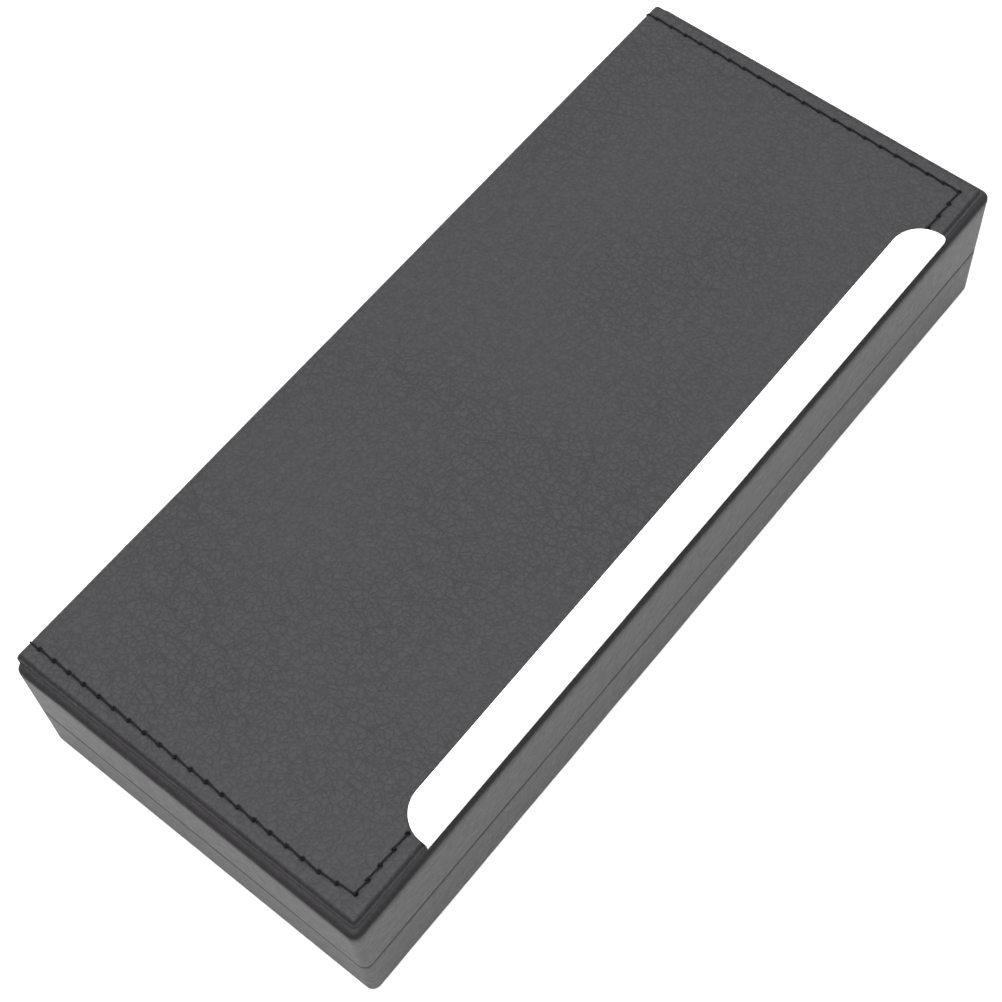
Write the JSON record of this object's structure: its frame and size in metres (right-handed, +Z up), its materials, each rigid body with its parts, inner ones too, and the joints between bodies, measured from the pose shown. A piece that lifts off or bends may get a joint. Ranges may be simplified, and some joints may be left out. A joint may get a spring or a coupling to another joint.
{
  "type": "multi glasses organizer",
  "caption": "Hinged leatherette box that stores several pairs of glasses in lined slots, with a stitched raised panel and a metal trim plate on the lid.",
  "frame": {"origin": "centre of the underside, on the surface that the box stands on", "axes": "+X along the box's long side, +Y from the front, where the metal plate is, to the hinge, +Z up"},
  "size_m": [0.38, 0.162, 0.0675],
  "materials": {
    "leatherette": "matte, fine pebble grain",
    "board": "plain grey board",
    "lining": "short-pile suede",
    "underside": "felted sheet",
    "thread": "twisted polyester thread",
    "plate": "polished, blank",
    "magnet": "nickel plated",
    "tape": "double-sided adhesive tape"
  },
  "bodies": {
    "base": {"base_leather_wrap": "leatherette", "base_hinge_leather": "leatherette", "hinge_fold": "leatherette", "base_bottom_board": "board", "base_front_board": "board", "base_back_board": "board", "base_left_board": "board", "base_right_board": "board", "base_magnet_left": "magnet", "base_magnet_right": "magnet", "base_underside_sheet": "underside", "insert_front_rail": "lining", "insert_back_rail": "lining", "insert_left_rail": "lining", "insert_right_rail": "lining", "divider_1": "lining", "divider_2": "lining", "divider_3": "lining", "divider_4": "lining", "slot_pad_1": "lining", "slot_pad_2": "lining", "slot_pad_3": "lining", "slot_pad_4": "lining", "slot_pad_5": "lining", "base_stitching": "thread"},
    "lid": {"lid_leather_wrap": "leatherette", "lid_top_board": "board", "lid_front_board": "board", "lid_back_board": "board", "lid_left_board": "board", "lid_right_board": "board", "lid_magnet_left": "magnet", "lid_magnet_right": "magnet", "lid_ceiling_pad": "lining", "lid_wall_lining": "lining", "top_panel_board": "board", "top_panel_leather": "leatherette", "top_stitching": "thread", "front_plate": "plate", "plate_tape": "tape"}
  },
  "joints": [
    {"name": "lid_hinge", "type": "hinge", "parent": "base", "child": "lid", "pos_m": [0, 0.0801, 0.028], "axis": [-1, 0, 0], "range_deg": [0, 145], "deforming": ["hinge_fold"]}
  ]
}
